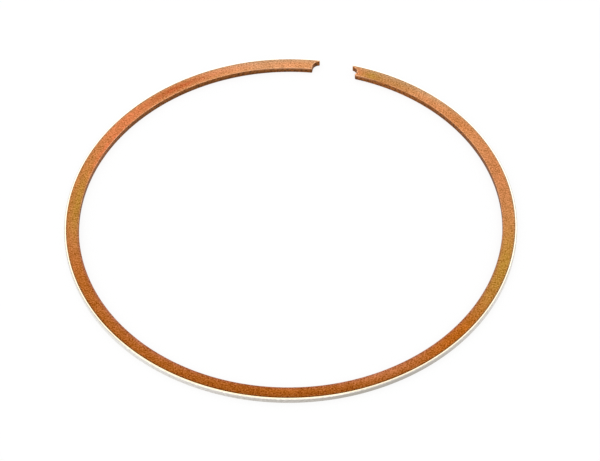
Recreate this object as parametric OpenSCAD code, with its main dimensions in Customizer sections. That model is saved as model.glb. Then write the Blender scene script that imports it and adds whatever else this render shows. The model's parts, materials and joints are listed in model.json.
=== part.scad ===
// Piston ring, free (not fitted), lying flat on its lower side.
// The ring is one piece: rolled to shape, split, sprung open, ground on both sides,
// with a barrel-shaped running face and a peg notch in the inner corner of each end.
// The ring's axis is Z, the lower side is at Z = 0 and the gap is centred on +Y.

/* [Cylinder fit] */
// Diameter of the cylinder bore that the ring runs in
bore_d = 72; // [50:0.5:100]
// Gap between the two ends while the ring is closed in its bore
closed_gap = 0.3; // [0.2:0.05:0.6]
// Gap between the two ends while the ring is free
free_gap = 5.8; // [4:0.1:9]

/* [Section] */
// Radial width of the section, from the inner wall to the running face
wall = 2.4; // [2:0.05:4]
// Axial height of the section
height = 1; // [0.8:0.05:2]
// How far the middle of the running face stands proud of its two edges
crown = 0.012; // [0.004:0.002:0.03]
// Chamfer along both edges of the running face
face_chamfer = 0.12; // [0.04:0.02:0.3]
// Edge break along both edges of the inner wall
inner_break = 0.04; // [0.02:0.01:0.3]

/* [Ends] */
// Diameter of the locating peg in the piston's groove
peg_d = 2; // [1.5:0.1:2.6]
// Clearance round the peg while the ring is closed
peg_clearance = 0.15; // [0.05:0.05:0.4]
// Radial width of the lip outside each peg notch
lip = 0.6; // [0.4:0.05:1]
// Chamfer on the running face's corner at each end
tip_chamfer = 0.12; // [0.04:0.02:0.3]
// Chamfer on the corner where each notch meets the inner wall
notch_chamfer = 0.1; // [0.04:0.02:0.2]

/* [Hidden] */
$fn = 360;

// Outer radius of the end arcs, which keep the bore's own curvature in the free ring
end_r = bore_d / 2;
// The body arc is wider than the bore by the length that the opened gap adds to a whole turn.
// The end arcs' centres stand this far from the ring's axis, so that all arcs join in line.
centre_shift = (free_gap - closed_gap) / (2 * PI);

// Direction of the gap's axis
gap_direction = 90;
// The body and the end arcs join on the diagonals, at this angle from the gap's axis
join_angle = 45;
// Angle from the gap's axis to each end face, with the tips free_gap apart
tip_angle = asin((free_gap / 2 - centre_shift * sin(join_angle)) / end_r);
end_arc = join_angle - tip_angle;

// Radius of the barrel-shaped running face across its height
barrel_r = (pow(height / 2, 2) + pow(crown, 2)) / (2 * crown);

// The two notches close to one round-bottomed slot, on the middle of the closed gap
notch_r = peg_d / 2 + peg_clearance;
// Length by which the cuts run past the solid
cut_over = 1;

// Section of the ring in its radial plane, with its running face at the end arcs' radius
module section() {
    inner_r = end_r - wall;
    intersection() {
        polygon([
            [inner_r + inner_break, 0],
            [end_r - face_chamfer, 0],
            [end_r, face_chamfer],
            [end_r, height - face_chamfer],
            [end_r - face_chamfer, height],
            [inner_r + inner_break, height],
            [inner_r, height - inner_break],
            [inner_r, inner_break]
        ]);
        translate([end_r - barrel_r, height / 2])
            circle(r = barrel_r);
    }
}

// The sector on the gap's side that the two end arcs fill
module end_sector() {
    translate([0, 0, -cut_over])
        linear_extrude(height + 2 * cut_over)
            scale(bore_d)
                polygon([
                    [0, 0],
                    [sin(join_angle), cos(join_angle)],
                    [-sin(join_angle), cos(join_angle)]
                ]);
}

// The long body arc: a whole turn without the sector of the ends
module body_arc() {
    difference() {
        rotate_extrude()
            translate([centre_shift, 0])
                section();
        end_sector();
    }
}

// Puts its children about the centre of the end arc, with X towards the join
module at_end_centre() {
    rotate([0, 0, gap_direction - join_angle])
        translate([centre_shift, 0, 0])
            children();
}

// One end arc, from the join to its end face
module end_arc_piece() {
    at_end_centre()
        rotate_extrude(angle = end_arc)
            section();
}

// Puts its children at the end face: X points outwards along the face and Y into the gap
module at_tip() {
    at_end_centre()
        rotate([0, 0, end_arc])
            translate([end_r, 0, 0])
                children();
}

// The slot that clears the peg: a round bottom, and straight sides in to the inner wall
module peg_notch() {
    at_tip()
        translate([-lip - notch_r, closed_gap / 2, -cut_over]) {
            cylinder(r = notch_r, h = height + 2 * cut_over);
            translate([-wall, -notch_r, 0])
                cube([wall, 2 * notch_r, height + 2 * cut_over]);
        }
}

// A bar on edge along Z that takes a chamfer off the upright corner that it stands on
module corner_cut(chamfer) {
    side = chamfer * sqrt(2);
    translate([0, 0, height / 2])
        rotate([0, 0, 45])
            cube([side, side, height + 2 * cut_over], center = true);
}

// Takes the sharp corner off the running face at the end, so that it can't catch in a port
module tip_corner() {
    at_tip()
        corner_cut(tip_chamfer);
}

// Takes the sharp corner off the inner wall at the notch, so that it can't dig into the groove's floor
module notch_corner() {
    at_tip()
        translate([-wall, closed_gap / 2 - notch_r, 0])
            corner_cut(notch_chamfer);
}

// Draws its children at the right-hand end and mirrored at the left-hand one
module at_both_ends() {
    children();
    mirror([1, 0, 0])
        children();
}

// The whole ring, one piece: body and end arcs in line, with both ends cut
module ring() {
    color("#b9763d")
        difference() {
            union() {
                body_arc();
                at_both_ends()
                    end_arc_piece();
            }
            at_both_ends() {
                peg_notch();
                tip_corner();
                notch_corner();
            }
        }
}

ring();
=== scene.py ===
import json
import math

import bpy
import numpy as np
from mathutils import Matrix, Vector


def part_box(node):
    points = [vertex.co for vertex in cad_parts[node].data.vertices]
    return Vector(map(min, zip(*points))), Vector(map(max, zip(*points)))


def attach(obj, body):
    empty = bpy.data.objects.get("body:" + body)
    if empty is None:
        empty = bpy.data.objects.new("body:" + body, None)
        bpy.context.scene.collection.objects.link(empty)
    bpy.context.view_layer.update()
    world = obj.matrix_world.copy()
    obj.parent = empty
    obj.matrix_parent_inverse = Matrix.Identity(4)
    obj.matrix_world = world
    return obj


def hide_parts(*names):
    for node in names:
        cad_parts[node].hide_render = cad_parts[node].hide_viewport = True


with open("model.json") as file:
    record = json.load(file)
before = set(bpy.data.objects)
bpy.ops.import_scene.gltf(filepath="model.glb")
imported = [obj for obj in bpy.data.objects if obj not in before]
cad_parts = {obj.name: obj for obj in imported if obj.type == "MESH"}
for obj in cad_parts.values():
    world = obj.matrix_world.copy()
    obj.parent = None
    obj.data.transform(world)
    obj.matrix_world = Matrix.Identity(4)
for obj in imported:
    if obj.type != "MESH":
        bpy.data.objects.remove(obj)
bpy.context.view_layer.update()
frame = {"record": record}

# The ring: one split piston ring that lies free, with its two ends sprung apart.
# It is steel strip rolled to shape, ground flat on both sides and heat-tinted, with hard chrome on the
# barrel-shaped running face outside and a notch for the groove's peg in the inner corner of each end.
MM = 0.001
ring_low, ring_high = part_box("ring")
inner_wall_mount = next(m for m in frame["record"]["mounts"] if m["name"] == "inner_wall")

# Sizes of the section, in millimetres. The chrome reaches past the running face's chamfer onto a narrow land
# on each side, which is wider beside the gap by gap_land.
height = (ring_high.z - ring_low.z) / MM
body_r = -ring_low.y / MM
wall = body_r - inner_wall_mount["dims"]["r_mm"]
crown = 0.012
face_chamfer = 0.12
chrome_land = 0.17
gap_land = 0.05
gap_land_power = 8
inner_break = 0.04

# Sizes of the ends, in millimetres. In the end zone the band along the inner edges, which carries a painted
# highlight with some wear, is wider, by up to the notch's extra width given here.
free_gap = 5.8
closed_gap = 0.3
lip = 0.6
notch_r = 1.15
tip_chamfer = 0.12
notch_break = 0.05
end_break = 0.04
edge_band_width = 0.13
notch_band_extra = 0.1
end_zone = 2.8

# Each end's own corner between the notch and the inner wall, in millimetres: its radius, and how far it leans
# towards the gap
right_corner = (0.3, 0.18)
left_corner = (0.2, 0.0)

# Points of the mesh: across each side, so that its tints can change from the inner wall to the chrome, up the
# barrel, round the notch, along its straight side, round its corner, along the inner wall to the end zone's
# end, and along the rest of one half
side_columns = 7
barrel_points = 12
bend_points = 30
straight_points = 6
corner_points = 8
arc_points = 17
body_stations = 399

# The end arcs keep the bore's own radius, and their centres stand off the ring's axis towards the joins
join_turn = math.radians(45)
centre_shift = (free_gap - closed_gap) / (2 * math.pi)
end_r = body_r - centre_shift
end_centre = centre_shift * np.array([math.sin(join_turn), math.cos(join_turn)])
tip_turn = math.asin((free_gap / 2 - end_centre[0]) / end_r)
zone_turn = end_zone / end_r


def ring_plan(turn, depth):
    """Plan points of the right-hand half, by angle from the gap's axis and depth inside the running face.

    Past the join the ring is a circle about its own axis. Nearer the gap it is a circle that is smaller by
    the centres' shift, about the end arc's centre, so that the two run into each other in line.
    """
    near_end = turn < join_turn
    radius = np.where(near_end, end_r, body_r) - depth
    x = near_end * end_centre[0] + radius * np.sin(turn)
    y = near_end * end_centre[1] + radius * np.cos(turn)
    return np.stack([x, y], axis=-1)


def notched_edge(corner_r, lean):
    """Inner edge of the right-hand end in plan, from its end face past the notch, and its outward normals.

    The edge is worked out along two axes from the end arc's centre: out, along the end face, and back,
    square to it into the ring. It is a quarter circle about the peg, a straight side, a small rounded corner
    and an arc of the inner wall. Its first point is drawn out along the end face by the edge break there.
    Last, the points past the quarter circle slide towards the gap, by the whole lean at the corner and less
    and less on both sides of it.
    """
    inner_r = end_r - wall
    peg_out = end_r - lip - notch_r
    side_back = notch_r - closed_gap / 2
    corner_back = side_back + corner_r
    corner_out = math.sqrt((inner_r + corner_r) ** 2 - corner_back ** 2)
    corner_turn = math.atan2(corner_back, corner_out)
    lip_out = peg_out + math.sqrt(notch_r ** 2 - (closed_gap / 2) ** 2)

    bend = np.linspace(math.asin((closed_gap / 2 + end_break) / notch_r), math.pi / 2, bend_points)
    straight = np.linspace(peg_out, corner_out, straight_points + 2)[1:-1]
    corner = np.linspace(0, math.pi / 2 - corner_turn, corner_points)
    arc = np.linspace(corner_turn, zone_turn, arc_points + 1)[1:]
    out = np.concatenate([
        [lip_out + end_break],
        peg_out + notch_r * np.cos(bend),
        straight,
        corner_out - corner_r * np.sin(corner),
        inner_r * np.cos(arc),
    ])
    back = np.concatenate([
        [0],
        notch_r * np.sin(bend) - closed_gap / 2,
        np.full_like(straight, side_back),
        corner_back - corner_r * np.cos(corner),
        inner_r * np.sin(arc),
    ])
    heading = np.concatenate([[0], bend, np.full_like(straight, math.pi / 2), math.pi / 2 - corner, arc])

    bend_end = bend_points
    corner_start = bend_end + 1 + straight_points
    corner_end = corner_start + corner_points - 1
    place = np.arange(len(back))
    lean_share = np.interp(place, [bend_end, corner_start, corner_end, place[-1]], [0, 1, 1, 0])
    back = back - lean * lean_share

    out_axis = np.array([math.sin(tip_turn), math.cos(tip_turn)])
    back_axis = np.array([math.cos(tip_turn), -math.sin(tip_turn)])
    points = end_centre + np.outer(out, out_axis) + np.outer(back, back_axis)
    normals = -np.outer(np.cos(heading), out_axis) - np.outer(np.sin(heading), back_axis)
    return points, normals, place < corner_start


def ring_stations(corner_r, lean):
    """The section's places along the right-hand half, from the end face round to the side opposite the gap.

    In the end zone the running face is shared out in step with the length of the notched edge. From there on
    the places are even. Each has its angle, its inner edge and normal, that edge's break, and how far the
    tip's chamfer and the end face's break take the section in.
    """
    edge, edge_normal, in_notch = notched_edge(corner_r, lean)
    travel = np.concatenate([[0], np.cumsum(np.linalg.norm(np.diff(edge, axis=0), axis=1))])
    zone = tip_turn + zone_turn * travel / travel[-1]
    rest = np.linspace(tip_turn + zone_turn, math.pi, body_stations + 1)[1:]
    turn = np.concatenate([zone, rest])
    rest_normal = -np.stack([np.sin(rest), np.cos(rest)], axis=-1)
    inner = np.concatenate([edge, ring_plan(rest, wall)])
    normal = np.concatenate([edge_normal, rest_normal])
    zone_break = np.where(in_notch, notch_break, inner_break)
    edge_break = np.concatenate([zone_break, np.full(len(rest), inner_break)])
    taken_in = np.maximum(tip_chamfer - (turn - tip_turn) * end_r, 0)
    pinch = np.where(np.arange(len(turn)) == 0, end_break, 0.0)
    return turn, inner, normal, edge_break, taken_in, pinch


def half_ring(corner_r, lean):
    """Points of the right-hand half, by station and by place round the section, and their depths.

    The section runs from the inner wall over its edge break, the upper side, the chamfer and the barrel to
    the lower side and back. The upper side has a line where the band of the edge's painted highlight and wear
    ends, and even columns from there to the chrome's land. The barrel's depth is a parabola with its crown at
    half height. That band is wider in the end zone, by a half wave, and the land is wider beside the gap, by
    a high power of the cosine.
    """
    turn, inner, normal, edge_break, taken_in, pinch = ring_stations(corner_r, lean)
    count = len(turn)
    chamfer_drop = face_chamfer - crown * (1 - 2 * face_chamfer / height) ** 2
    barrel_z = np.linspace(height - chamfer_drop, chamfer_drop, barrel_points)
    barrel_depth = crown * (2 * barrel_z / height - 1) ** 2

    inset = inner - edge_break[:, None] * normal
    zone_share = np.clip((turn - tip_turn) / zone_turn, 0, 1)
    band_width = edge_band_width + notch_band_extra * np.sin(math.pi * zone_share)
    band_end = inset - band_width[:, None] * normal
    land_width = chrome_land + gap_land * np.maximum(np.cos(turn), 0) ** gap_land_power
    land = ring_plan(turn, face_chamfer + land_width)
    chamfer = ring_plan(turn, taken_in + face_chamfer)
    barrel = ring_plan(turn[:, None], taken_in[:, None] + barrel_depth)
    share = np.linspace(0, 1, side_columns + 2)[None, :, None]
    side = band_end[:, None] + share * (land - band_end)[:, None]
    plan = np.concatenate([
        np.stack([inner, inset], axis=1), side, chamfer[:, None], barrel,
        chamfer[:, None], side[:, ::-1], np.stack([inset, inner], axis=1),
    ], axis=1)

    top = np.full((count, side_columns + 4), height)
    z = np.concatenate([
        (height - edge_break)[:, None], top, np.broadcast_to(barrel_z, (count, barrel_points)),
        0 * top, edge_break[:, None],
    ], axis=1)
    z = height / 2 + (z - height / 2) * (1 - 2 * pinch[:, None] / height)

    near_end = (turn < join_turn)[:, None]
    from_centre = np.hypot(plan[..., 0] - near_end * end_centre[0], plan[..., 1] - near_end * end_centre[1])
    return np.concatenate([plan, z[..., None]], axis=2), np.where(near_end, end_r, body_r) - from_centre


def ring_surface():
    """Points of the whole ring, with their depths and the length along it.

    It is the right-hand half, and then the left-hand one, which is worked out in the same way and mirrored.
    """
    right, right_depth = half_ring(*right_corner)
    left, left_depth = half_ring(*left_corner)
    points = np.concatenate([right, left[-2::-1] * np.array([-1, 1, 1])])
    depth = np.concatenate([right_depth, left_depth[-2::-1]])
    band_line = points[:, 2, :2]
    along = np.concatenate([[0], np.cumsum(np.linalg.norm(np.diff(band_line, axis=0), axis=1))])
    return points, depth, along


def ring_faces(stations, places):
    """Quads between neighbouring stations, closed round the section, and a strip of quads on each end."""
    station, place = np.meshgrid(np.arange(stations - 1), np.arange(places), indexing="ij")
    following = (place + 1) % places
    quads = np.stack([
        station * places + place,
        (station + 1) * places + place,
        (station + 1) * places + following,
        station * places + following,
    ], axis=-1).reshape(-1, 4)
    upper = np.arange(places // 2 - 1)
    right_end = np.stack([upper, upper + 1, places - 2 - upper, places - 1 - upper], axis=-1)
    left_end = right_end[:, ::-1] + (stations - 1) * places
    return quads, np.concatenate([right_end, left_end])


points, depth, along = ring_surface()
stations, places = depth.shape
quads, end_faces = ring_faces(stations, places)
faces = np.concatenate([quads, end_faces])

ring_mesh = bpy.data.meshes.new("ring_mesh")
ring_mesh.vertices.add(stations * places)
ring_mesh.vertices.foreach_set("co", (points * MM).ravel())
ring_mesh.loops.add(faces.size)
ring_mesh.loops.foreach_set("vertex_index", faces.ravel())
ring_mesh.polygons.add(len(faces))
ring_mesh.polygons.foreach_set("loop_start", np.arange(len(faces)) * 4)
ring_mesh.update(calc_edges=True)

# Finish of each face: the ground sides, the chrome, which covers the running face, its chamfers and a narrow
# land on each side, and the inner wall, notches and end faces with their edge breaks, which are left as cut.
# The upper land starts past the side's columns, and on the end faces the same places show the plating's edge.
GROUND, CHROME, CUT = 0, 1, 2
chrome_from = side_columns + 3
section_place = np.tile(np.arange(places), stations - 1)
plated = (section_place >= chrome_from) & (section_place < places - 1 - chrome_from)
finish = np.where(plated, CHROME, GROUND)
finish = np.where((section_place == 0) | (section_place >= places - 2), CUT, finish)
end_finish = np.where(np.arange(places // 2 - 1) >= chrome_from, CHROME, CUT)
finish = np.concatenate([finish, end_finish, end_finish])
ring_mesh.polygons.foreach_set("material_index", finish.astype(np.int32))

# The faces are shaded smooth, apart from edges where two meet at more than this angle
sharp_from = math.radians(25)
ring_mesh.polygons.foreach_set("use_smooth", np.ones(len(faces), dtype=bool))
ring_mesh.set_sharp_from_angle(angle=sharp_from)

# A map in metres: along the ring and round its section, and on the end faces by depth and height
middle_section = points[stations // 2]
steps = np.linalg.norm(np.diff(middle_section, axis=0, append=middle_section[:1]), axis=1)
round_section = np.concatenate([[0], np.cumsum(steps)])
station, place = np.meshgrid(np.arange(stations - 1), np.arange(places), indexing="ij")
quad_u = np.stack([along[station], along[station + 1], along[station + 1], along[station]], axis=-1)
quad_v = np.stack([round_section[place], round_section[place], round_section[place + 1],
                   round_section[place + 1]], axis=-1)
uv = np.concatenate([
    np.stack([quad_u, quad_v], axis=-1).reshape(-1, 2),
    np.stack([depth.ravel()[end_faces], points.reshape(-1, 3)[end_faces, 2]], axis=-1).reshape(-1, 2),
])
ring_mesh.uv_layers.new(name="along_ring").data.foreach_set("uv", (uv * MM).ravel())

# Temper colours, each with the patches where it shows. A patch is its clockwise angle from the gap, its depth
# inside the running face, half its length in degrees, half its width in millimetres, and its share.
temper_tints = (
    ("amber", "#b46002", (
        (14, 2.3, 3.5, 0.4, 0.3), (40, 1.4, 4, 1.2, 0.4), (120, 1.2, 6, 1.6, 0.75), (122, 0.6, 8, 0.5, 0.3),
        (170, 1.9, 4, 0.6, 0.35), (240, 1.3, 8, 1.6, 0.3), (278, 1.3, 10, 1.6, 0.25))),
    ("gold", "#b0832f", (
        (10.4, 1.5, 2.4, 1.0, 0.8), (19, 1.2, 3, 1.0, 0.35), (95, 1.1, 10, 1.4, 0.88),
        (265, 1.9, 9, 0.8, 0.8))),
    ("copper_red", "#b45a28", (
        (30, 2.1, 5, 0.7, 0.25), (48, 0.8, 6, 0.8, 0.15), (60, 1.4, 8, 1.6, 0.3), (299, 1.4, 7, 1.6, 0.12),
        (315, 1.3, 9, 0.55, 0.95))),
    ("salmon", "#da7244", (
        (6.3, 1.4, 1.6, 0.8, 0.35), (283, 2.2, 7, 0.35, 0.5), (295, 1.4, 7, 1.6, 0.42))),
    ("rose", "#dc8f66", (
        (141, 2.0, 7, 0.9, 0.28), (152, 2.1, 8, 0.4, 0.15), (203, 2.1, 16, 0.4, 0.15),
        (214, 1.8, 14, 1.2, 0.06), (249, 0.9, 5, 0.9, 0.12), (331, 0.9, 6, 0.6, 0.5),
        (346, 1.6, 4, 0.8, 0.25))),
    ("mauve", "#8a5a58", (
        (98, 2.35, 16, 0.15, 0.45), (140, 2.3, 25, 0.2, 0.35), (215, 2.3, 30, 0.2, 0.45),
        (246, 2.35, 10, 0.15, 0.3))),
    ("brown", "#5a2e06", (
        (16, 1.7, 5, 1.2, 0.2), (165, 0.5, 26, 0.5, 0.25))),
    ("dull_tan", "#b09474", (
        (22, 0.6, 12, 0.35, 0.5), (340, 2.0, 3.5, 0.8, 0.22), (344, 0.6, 12, 0.35, 0.5))),
)

# Patches where a finish departs from the rest, each kind with the part of the ring that it is kept to:
# painted reflections on the chrome, darker where it mirrors the floor in the ring's shadow and brighter where
# it mirrors lit floor, a painted highlight with some wear on the upper inner edges by the ends, a fainter
# border beside the chrome, painted shade with some dirt inside the left-hand notch, and paler stretches of
# the inner wall and the lips
below_chamfer = points[..., 2] < height - face_chamfer
upper_half = points[..., 2] > height / 2
whole_ring = True
finish_patches = (
    # Painted reflection on the barrel: darker where it mirrors shaded floor, brighter where it mirrors lit
    # floor
    ("shaded_floor_reflection", below_chamfer, (
        (134, 0.0, 13, 0.05, 0.8), (156, 0.0, 10, 0.05, 0.65), (175, 0.0, 6, 0.05, 0.3))),
    ("lit_floor_reflection", below_chamfer, (
        (97, 0.0, 9, 0.05, 0.45), (226, 0.0, 20, 0.05, 0.8), (262, 0.0, 12, 0.05, 0.8))),
    # Painted highlight, with some wear, on the upper inner edges by the ends
    ("edge_highlight_patch", upper_half, (
        (7, 2.36, 3.5, 0.04, 0.7), (348, 2.36, 6, 0.04, 0.85))),
    ("faint_border", whole_ring, (
        (266, 0.4, 15, 0.3, 0.65), (355.5, 0.45, 1.5, 0.25, 0.7))),
    # Painted shade, with some dirt, deep in the left-hand notch
    ("recess_shade_and_dirt", whole_ring, (
        (354.4, 0.85, 0.35, 0.25, 0.5),)),
    ("pale_wall", whole_ring, (
        (4.6, 0.6, 0.8, 0.5, 0.3), (18, 2.4, 10, 0.3, 0.55), (50, 2.4, 14, 0.3, 0.25),
        (279, 2.4, 9, 0.3, 0.35), (355.8, 0.6, 0.8, 0.5, 0.5))),
)

# Stretches of the inner edges where the painted highlight and wear are stronger, or with a negative share
# weaker, than their place gives
highlight_and_wear_patches = (
    (13, 2.36, 4, 0.2, -0.5), (36, 2.36, 20, 0.2, -0.35), (95, 2.36, 15, 0.2, -0.85),
    (245, 2.36, 14, 0.2, -0.85), (284, 2.36, 9, 0.2, 0.5),
)
turn_degrees = np.degrees(np.arctan2(points[..., 0], points[..., 1])) % 360


def patch_share(patches):
    """Share at each point: the sum over the patches of a bell curve along the ring and across it."""
    angle, middle, half_length, half_width, strength = np.array(patches).T
    along_it = ((turn_degrees[..., None] - angle + 180) % 360 - 180) / half_length
    across_it = (depth[..., None] - middle) / half_width
    return (strength * np.exp(-0.5 * (along_it ** 2 + across_it ** 2))).sum(axis=-1)


# The inner edges carry a painted highlight with some wear, strongest beside the gap, where they face the
# front lamp, and none opposite it, and it fades to the band's end
inset_places = [1, -2]
edge_highlight_and_wear = np.zeros((stations, places))
edge_highlight_and_wear[:, inset_places] = 0.5 + 0.5 * np.cos(np.radians(turn_degrees[:, inset_places]))
edge_highlight_and_wear = edge_highlight_and_wear * (1 + patch_share(highlight_and_wear_patches))

point_values = {"depth_mm": depth, "edge_highlight_and_wear": edge_highlight_and_wear}
point_values.update((name, patch_share(patches)) for name, code, patches in temper_tints)
point_values.update((name, kept_to * patch_share(patches)) for name, kept_to, patches in finish_patches)
for name, values in point_values.items():
    attribute = ring_mesh.attributes.new(name, "FLOAT", "POINT")
    attribute.data.foreach_set("value", values.ravel())
ring_mesh.validate()

ring = bpy.data.objects.new("piston_ring", ring_mesh)
bpy.context.scene.collection.objects.link(ring)


def linear(code):
    """Linear RGBA of an sRGB hex colour: each byte as a share of 255, with the sRGB curve undone."""
    srgb = np.array([int(code[i:i + 2], 16) for i in (1, 3, 5)]) / 255
    rgb = np.where(srgb <= 0.04045, srgb / 12.92, ((srgb + 0.055) / 1.055) ** 2.4)
    return (*rgb.tolist(), 1.0)


def add(tree, kind, inputs=(), **settings):
    """Adds a node with its settings. Each input is a socket's name or number, and a value or an output."""
    node = tree.nodes.new(kind)
    for name, value in settings.items():
        setattr(node, name, value)
    for socket, value in inputs:
        if isinstance(value, bpy.types.NodeSocket):
            tree.links.new(value, node.inputs[socket])
        else:
            node.inputs[socket].default_value = value
    return node


def per_metre(millimetres):
    """Scale of a pattern on coordinates in metres, from the size of its grain in millimetres."""
    return 1 / (millimetres * MM)


def empty_tree(material):
    """Node tree of a new material or world, with the nodes that it starts with taken out."""
    material.use_nodes = True
    material.node_tree.nodes.clear()
    return material.node_tree


# Nearly all of a noise pattern lies between these values
noise_low = 0.3
noise_high = 0.7


def drawn_out_noise(tree, length_mm, width_mm, detail):
    """Noise on the ring's own map, with grains of one size along the ring and another round its section."""
    ring_map = add(tree, "ShaderNodeUVMap", uv_map="along_ring").outputs["UV"]
    drawn_out = add(tree, "ShaderNodeMapping", [
        ("Vector", ring_map), ("Scale", (per_metre(length_mm), per_metre(width_mm), 1.0))])
    noise = add(tree, "ShaderNodeTexNoise", [
        ("Vector", drawn_out.outputs["Vector"]), ("Scale", 1.0), ("Detail", detail)])
    return noise.outputs["Fac"]


def finish_metal(tree, tint, pattern, rough, bump_strength, bump_mm, coat=()):
    """Ends a metal's tree: the pattern gives its roughness, between two values, and its fine bumps."""
    roughness = add(tree, "ShaderNodeMapRange", [
        ("Value", pattern), ("From Min", noise_low), ("From Max", noise_high),
        ("To Min", rough[0]), ("To Max", rough[1])])
    bump = add(tree, "ShaderNodeBump", [
        ("Height", pattern), ("Strength", bump_strength), ("Distance", bump_mm * MM)])
    shader = add(tree, "ShaderNodeBsdfPrincipled", [
        ("Base Color", tint), ("Metallic", 1.0), ("Roughness", roughness.outputs["Result"]),
        ("Normal", bump.outputs["Normal"]), *coat])
    add(tree, "ShaderNodeOutputMaterial", [("Surface", shader.outputs["BSDF"])])


# Heat-tinted ground steel: the oxide film is deep bronze opposite the gap and pales to copper towards the
# ends, partly its own tint and partly a painted sheen of the light from behind the ring, with patches of
# other temper colours, a border beside the chrome and a painted highlight, with some wear, on inner edges.
# Grinding leaves a matt speckle, drawn coarser than the real one so that it still shows, under wider clouds.
far_tint = linear("#a3580d")
# The colour towards the gap: the oxide's paler tint with a painted sheen of the light from behind
gap_tint_and_sheen = linear("#d2935f")
# Painted highlight, with some wear, on the inner edges
worn_highlight_tint = linear("#eebb92")
far_border = linear("#4e2e04")
gap_border = linear("#b08e6c")
border_mm = 0.32
border_from = face_chamfer + chrome_land
cloud_mm = 1.2
cloud_detail = 3.0
speckle_mm = 0.25
speckle_detail = 1.0
mottle_clouds = (0.35, 0.65)
mottle_share = (0.8, 1.15)
cloud_weight = 0.26
marks_low = noise_low + 0.5 * cloud_weight
marks_high = noise_high + 0.5 * cloud_weight
grain_blends = (("MULTIPLY", 0.6, 1.4), ("ADD", -0.03, 0.03))

ground_steel = bpy.data.materials.new("heat_tinted_ground_steel")
tree = empty_tree(ground_steel)
position = add(tree, "ShaderNodeTexCoord").outputs["Object"]
across = add(tree, "ShaderNodeSeparateXYZ", [(0, position)]).outputs["Y"]
towards_gap = add(tree, "ShaderNodeMapRange", [
    ("Value", across), ("From Min", -body_r * MM), ("From Max", body_r * MM)],
    interpolation_type="SMOOTHSTEP").outputs["Result"]
clouds = add(tree, "ShaderNodeTexNoise", [
    ("Vector", position), ("Scale", per_metre(cloud_mm)), ("Detail", cloud_detail)]).outputs["Fac"]
speckle = add(tree, "ShaderNodeTexNoise", [
    ("Vector", position), ("Scale", per_metre(speckle_mm)), ("Detail", speckle_detail)]).outputs["Fac"]

# The temper colours and the edge's painted highlight and wear lie over each other, their shares
# made uneven by the clouds.
# Sockets 6 and 7 are the two colours of a colour mix, and output 2 its result.
mottle = add(tree, "ShaderNodeMapRange", [
    ("Value", clouds), ("From Min", mottle_clouds[0]), ("From Max", mottle_clouds[1]),
    ("To Min", mottle_share[0]), ("To Max", mottle_share[1])]).outputs["Result"]
# The tint pales towards the gap, partly the oxide and partly painted sheen of the light from behind
tint = add(tree, "ShaderNodeMix", [
    (0, towards_gap), (6, far_tint), (7, gap_tint_and_sheen)], data_type="RGBA").outputs[2]
tints_over = [(name, linear(code)) for name, code, patches in temper_tints]
for name, tint_over in tints_over + [("edge_highlight_and_wear", worn_highlight_tint)]:
    patch = add(tree, "ShaderNodeAttribute", attribute_name=name).outputs["Fac"]
    share = add(tree, "ShaderNodeMath", [(0, patch), (1, mottle)], operation="MULTIPLY", use_clamp=True)
    tint = add(tree, "ShaderNodeMix", [
        (0, share.outputs[0]), (6, tint), (7, tint_over)], data_type="RGBA").outputs[2]

# The border fades out with depth, from its full share at the chrome's edge
depth_mm = add(tree, "ShaderNodeAttribute", attribute_name="depth_mm").outputs["Fac"]
faint_border = add(tree, "ShaderNodeAttribute", attribute_name="faint_border").outputs["Fac"]
border_full = add(tree, "ShaderNodeMath", [(0, 1.0), (1, faint_border)], operation="SUBTRACT").outputs[0]
border_share = add(tree, "ShaderNodeMapRange", [
    ("Value", depth_mm), ("From Min", border_from), ("From Max", border_from + border_mm),
    ("To Min", border_full), ("To Max", 0.0)]).outputs["Result"]
border_tint = add(tree, "ShaderNodeMix", [
    (0, towards_gap), (6, far_border), (7, gap_border)], data_type="RGBA").outputs[2]
tint = add(tree, "ShaderNodeMix", [
    (0, border_share), (6, tint), (7, border_tint)], data_type="RGBA").outputs[2]

# The speckle, with a part of the clouds, darkens and lightens the tint and adds a little grey to it
marks = add(tree, "ShaderNodeMath", [
    (0, clouds), (1, cloud_weight), (2, speckle)], operation="MULTIPLY_ADD").outputs[0]
for blend, low, high in grain_blends:
    grain = add(tree, "ShaderNodeMapRange", [
        ("Value", marks), ("From Min", marks_low), ("From Max", marks_high),
        ("To Min", low), ("To Max", high)]).outputs["Result"]
    tint = add(tree, "ShaderNodeMix", [
        (0, 1.0), (6, tint), (7, grain)], data_type="RGBA", blend_type=blend).outputs[2]
finish_metal(tree, tint, speckle, rough=(0.44, 0.56), bump_strength=0.2, bump_mm=0.02,
             coat=[("Coat Weight", 0.03), ("Coat Roughness", 0.25)])

# Lapped hard chrome: a bright grey mirror, clouded by lapping into soft lighter and darker spots, which are
# drawn coarser than the real ones so that they show. Some stretches carry a painted reflection, darker
# where the barrel mirrors the floor in the ring's shadow and brighter where it mirrors lit floor, and
# the land beside the steel has a straw tint, which fades towards the gap.
chrome_light = linear("#e4dfda")
chrome_dark = linear("#beb9b2")
chrome_shaded_reflection = linear("#b0aba2")
chrome_lit_reflection = linear("#f2f1ec")
far_straw = linear("#f6e0b8")
gap_straw = linear("#f8f0e2")
straw_from = 0.05
straw_full = face_chamfer + 0.1
straw_faded = 0.7 * body_r
spot_length_mm = 0.5
spot_mm = 0.35
spot_detail = 2.0

chrome = bpy.data.materials.new("lapped_hard_chrome")
tree = empty_tree(chrome)
spots = drawn_out_noise(tree, spot_length_mm, spot_mm, spot_detail)
spot_share = add(tree, "ShaderNodeMapRange", [
    ("Value", spots), ("From Min", noise_low), ("From Max", noise_high)]).outputs["Result"]
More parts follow.
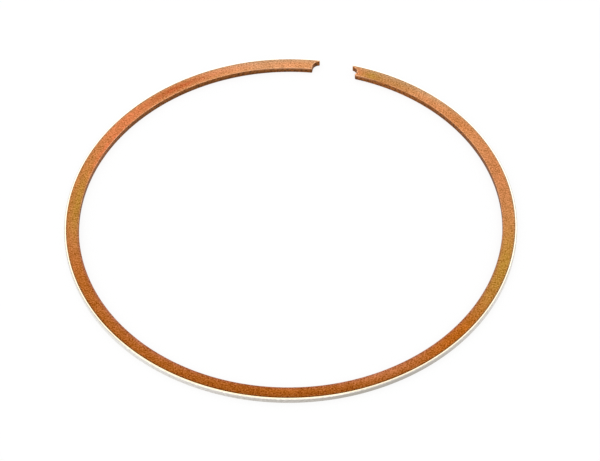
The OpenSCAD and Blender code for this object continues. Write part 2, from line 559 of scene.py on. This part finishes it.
# Painted reflection of the floor, darker in the ring's shadow and brighter where it is lit
shaded_floor_reflection = add(tree, "ShaderNodeAttribute", attribute_name="shaded_floor_reflection").outputs["Fac"]
lit_floor_reflection = add(tree, "ShaderNodeAttribute", attribute_name="lit_floor_reflection").outputs["Fac"]
depth_mm = add(tree, "ShaderNodeAttribute", attribute_name="depth_mm").outputs["Fac"]
straw_share = add(tree, "ShaderNodeMapRange", [
    ("Value", depth_mm), ("From Min", straw_from), ("From Max", straw_full)]).outputs["Result"]
position = add(tree, "ShaderNodeTexCoord").outputs["Object"]
across = add(tree, "ShaderNodeSeparateXYZ", [(0, position)]).outputs["Y"]
towards_gap = add(tree, "ShaderNodeMapRange", [
    ("Value", across), ("From Min", -body_r * MM), ("From Max", straw_faded * MM)]).outputs["Result"]
straw = add(tree, "ShaderNodeMix", [
    (0, towards_gap), (6, far_straw), (7, gap_straw)], data_type="RGBA").outputs[2]
tint = chrome_dark
for share, tint_over in ((spot_share, chrome_light), (shaded_floor_reflection, chrome_shaded_reflection),
                         (lit_floor_reflection, chrome_lit_reflection), (straw_share, straw)):
    tint = add(tree, "ShaderNodeMix", [
        (0, share), (6, tint), (7, tint_over)], data_type="RGBA").outputs[2]
finish_metal(tree, tint, spots, rough=(0.26, 0.16), bump_strength=0.1, bump_mm=0.005)

# Heat-tinted steel as cut: the inner wall, the notches and the end faces carry a thicker, browner oxide on a
# rougher surface, in dark and lighter spots that run a little along the ring. It pales towards the upper
# edge, a painted shade that keeps the lower part dark where it mirrors the floor in the ring's shadow, and
# carries a painted highlight, with some wear, on that edge by the ends. It is darkest inside the left-hand
# notch, painted shade with some dirt.
# The deepest colour is painted shade, with some dirt, inside the left-hand notch
cut_deep = linear("#2a1604")
cut_dark = linear("#40220a")
cut_light = linear("#9c602e")
cut_pale = linear("#d6823e")
# Painted shade: below this height the cut steel stays darker, where it mirrors the floor in the ring's shadow
pale_from = 0.4 * height
pale_most = 0.6
bright_from = 0.6 * height
mark_length_mm = 0.4
mark_mm = 0.3
mark_detail = 3.0

cut_steel = bpy.data.materials.new("heat_tinted_cut_steel")
tree = empty_tree(cut_steel)
marks = drawn_out_noise(tree, mark_length_mm, mark_mm, mark_detail)
mark_share = add(tree, "ShaderNodeMapRange", [
    ("Value", marks), ("From Min", noise_low), ("From Max", noise_high)]).outputs["Result"]
position = add(tree, "ShaderNodeTexCoord").outputs["Object"]
level = add(tree, "ShaderNodeSeparateXYZ", [(0, position)]).outputs["Z"]
# Painted shade, lifting towards the upper edge
unshaded_top_share = add(tree, "ShaderNodeMapRange", [
    ("Value", level), ("From Min", pale_from * MM), ("From Max", height * MM),
    ("To Max", pale_most)]).outputs["Result"]
pale_wall = add(tree, "ShaderNodeAttribute", attribute_name="pale_wall").outputs["Fac"]
recess_shade_and_dirt = add(tree, "ShaderNodeAttribute", attribute_name="recess_shade_and_dirt").outputs["Fac"]
# Painted highlight, with some wear, on the cut steel's upper edge by the ends
edge_highlight_patch = add(tree, "ShaderNodeAttribute", attribute_name="edge_highlight_patch").outputs["Fac"]
bright_share = add(tree, "ShaderNodeMapRange", [
    ("Value", level), ("From Min", bright_from * MM), ("From Max", height * MM),
    ("To Max", edge_highlight_patch)]).outputs["Result"]
light_tint = cut_light
for share in (unshaded_top_share, pale_wall):
    light_tint = add(tree, "ShaderNodeMix", [
        (0, share), (6, light_tint), (7, cut_pale)], data_type="RGBA").outputs[2]
tint = cut_dark
# Over the spots lie painted shade with some dirt in the left-hand notch, then the upper edge's painted
# highlight
for share, tint_over in ((mark_share, light_tint), (recess_shade_and_dirt, cut_deep), (bright_share, worn_highlight_tint)):
    tint = add(tree, "ShaderNodeMix", [
        (0, share), (6, tint), (7, tint_over)], data_type="RGBA").outputs[2]
finish_metal(tree, tint, marks, rough=(0.5, 0.65), bump_strength=0.3, bump_mm=0.02)

# The materials stand in the order of GROUND, CHROME and CUT
for finish_material in (ground_steel, chrome, cut_steel):
    ring_mesh.materials.append(finish_material)
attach(ring, "root")
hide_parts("ring")

# The floor: a plain flat sheet of white card under the ring, not part of it.
# To the camera and in reflections it is drawn close to pure white, and it still takes the ring's soft shadow.
floor_half = 3.0
floor_clearance = 0.01 * MM
card_white = linear("#f8f8f8")
pure_white = linear("#ffffff")
own_light = 0.85

floor_z = ring_low.z - floor_clearance
corners = [(-floor_half, -floor_half, floor_z), (floor_half, -floor_half, floor_z),
           (floor_half, floor_half, floor_z), (-floor_half, floor_half, floor_z)]
floor_mesh = bpy.data.meshes.new("floor_mesh")
floor_mesh.from_pydata(corners, [], [(0, 1, 2, 3)])
floor = bpy.data.objects.new("floor", floor_mesh)
bpy.context.scene.collection.objects.link(floor)


def seen_directly(tree):
    """Output that is 1 for rays from the camera, mirrors and glass, and 0 for light that falls on things."""
    path = add(tree, "ShaderNodeLightPath")
    mirrored = add(tree, "ShaderNodeMath", [
        (0, path.outputs["Is Glossy Ray"]), (1, path.outputs["Is Transmission Ray"])], operation="MAXIMUM")
    seen = add(tree, "ShaderNodeMath", [
        (0, path.outputs["Is Camera Ray"]), (1, mirrored.outputs[0])], operation="MAXIMUM")
    return seen.outputs[0]


# Matt white card, which gives the eye an even white with no gloss
white_card = bpy.data.materials.new("matt_white_card")
tree = empty_tree(white_card)
card = add(tree, "ShaderNodeBsdfDiffuse", [("Color", card_white)])
glow = add(tree, "ShaderNodeEmission", [("Color", pure_white), ("Strength", 1.0)])
glow_share = add(tree, "ShaderNodeMath", [(0, seen_directly(tree)), (1, own_light)], operation="MULTIPLY")
card_seen = add(tree, "ShaderNodeMixShader", [
    (0, glow_share.outputs[0]), (1, card.outputs["BSDF"]), (2, glow.outputs["Emission"])])
add(tree, "ShaderNodeOutputMaterial", [("Surface", card_seen.outputs["Shader"])])
floor_mesh.materials.append(white_card)

# The camera: on the photograph's side of the ring, looking down on it, with its roll and framing.
# The ring's axis meets the floor at a point of the 600 x 461 picture that is a little off its middle.
picture_w = 600
picture_h = 461
axis_pixel = (290.6, 224.9)
camera_distance = 562.3 * MM
camera_azimuth = math.radians(13.24)
camera_elevation = math.radians(49.02)
camera_roll = math.radians(-1.125)
sensor_mm = 36
lens_mm = 206.9
nearest_seen = 10 * MM

camera_data = bpy.data.cameras.new("camera")
camera_data.sensor_width = sensor_mm
camera_data.lens = lens_mm
camera_data.shift_x = (picture_w / 2 - axis_pixel[0]) / picture_w
camera_data.shift_y = (axis_pixel[1] - picture_h / 2) / picture_w
camera_data.clip_start = nearest_seen
camera = bpy.data.objects.new("camera", camera_data)
camera.matrix_world = (Matrix.Rotation(camera_azimuth, 4, "Z")
                       @ Matrix.Rotation(math.pi / 2 - camera_elevation, 4, "X")
                       @ Matrix.Rotation(camera_roll, 4, "Z")
                       @ Matrix.Translation((0, 0, camera_distance)))
bpy.context.scene.collection.objects.link(camera)
bpy.context.scene.camera = camera

# The light: a white surround from all sides and two soft lamps, a wide one in front, to the left of the
# camera, and a square one behind the ring. The first mirrors in the chamfers and edge breaks that face the
# camera, the second in the flat upper side.
surround = bpy.data.worlds.new("white_surround")
bpy.context.scene.world = surround
tree = empty_tree(surround)
shader = add(tree, "ShaderNodeBackground", [("Color", pure_white), ("Strength", 1.0)])
add(tree, "ShaderNodeOutputWorld", [("Surface", shader.outputs["Background"])])

# Each lamp's angle from the camera and its elevation, in degrees, its width and height, and its radiance
lamp_distance = 600 * MM
lamps = (
    ("front_lamp", -25, 36, 1300 * MM, 320 * MM, 0.55),
    ("back_lamp", 180, 50, 320 * MM, 320 * MM, 0.6),
)
for name, azimuth_from_camera, elevation, lamp_w, lamp_h, radiance in lamps:
    lamp_data = bpy.data.lights.new(name, "AREA")
    lamp_data.shape = "RECTANGLE"
    lamp_data.size = lamp_w
    lamp_data.size_y = lamp_h
    lamp_data.energy = radiance * math.pi * lamp_w * lamp_h
    lamp = bpy.data.objects.new(name, lamp_data)
    lamp_azimuth = camera_azimuth + math.radians(azimuth_from_camera)
    lamp.matrix_world = (Matrix.Rotation(lamp_azimuth, 4, "Z")
                         @ Matrix.Rotation(math.radians(90 - elevation), 4, "X")
                         @ Matrix.Translation((0, 0, lamp_distance)))
    bpy.context.scene.collection.objects.link(lamp)

bpy.context.scene.view_settings.view_transform = "Standard"
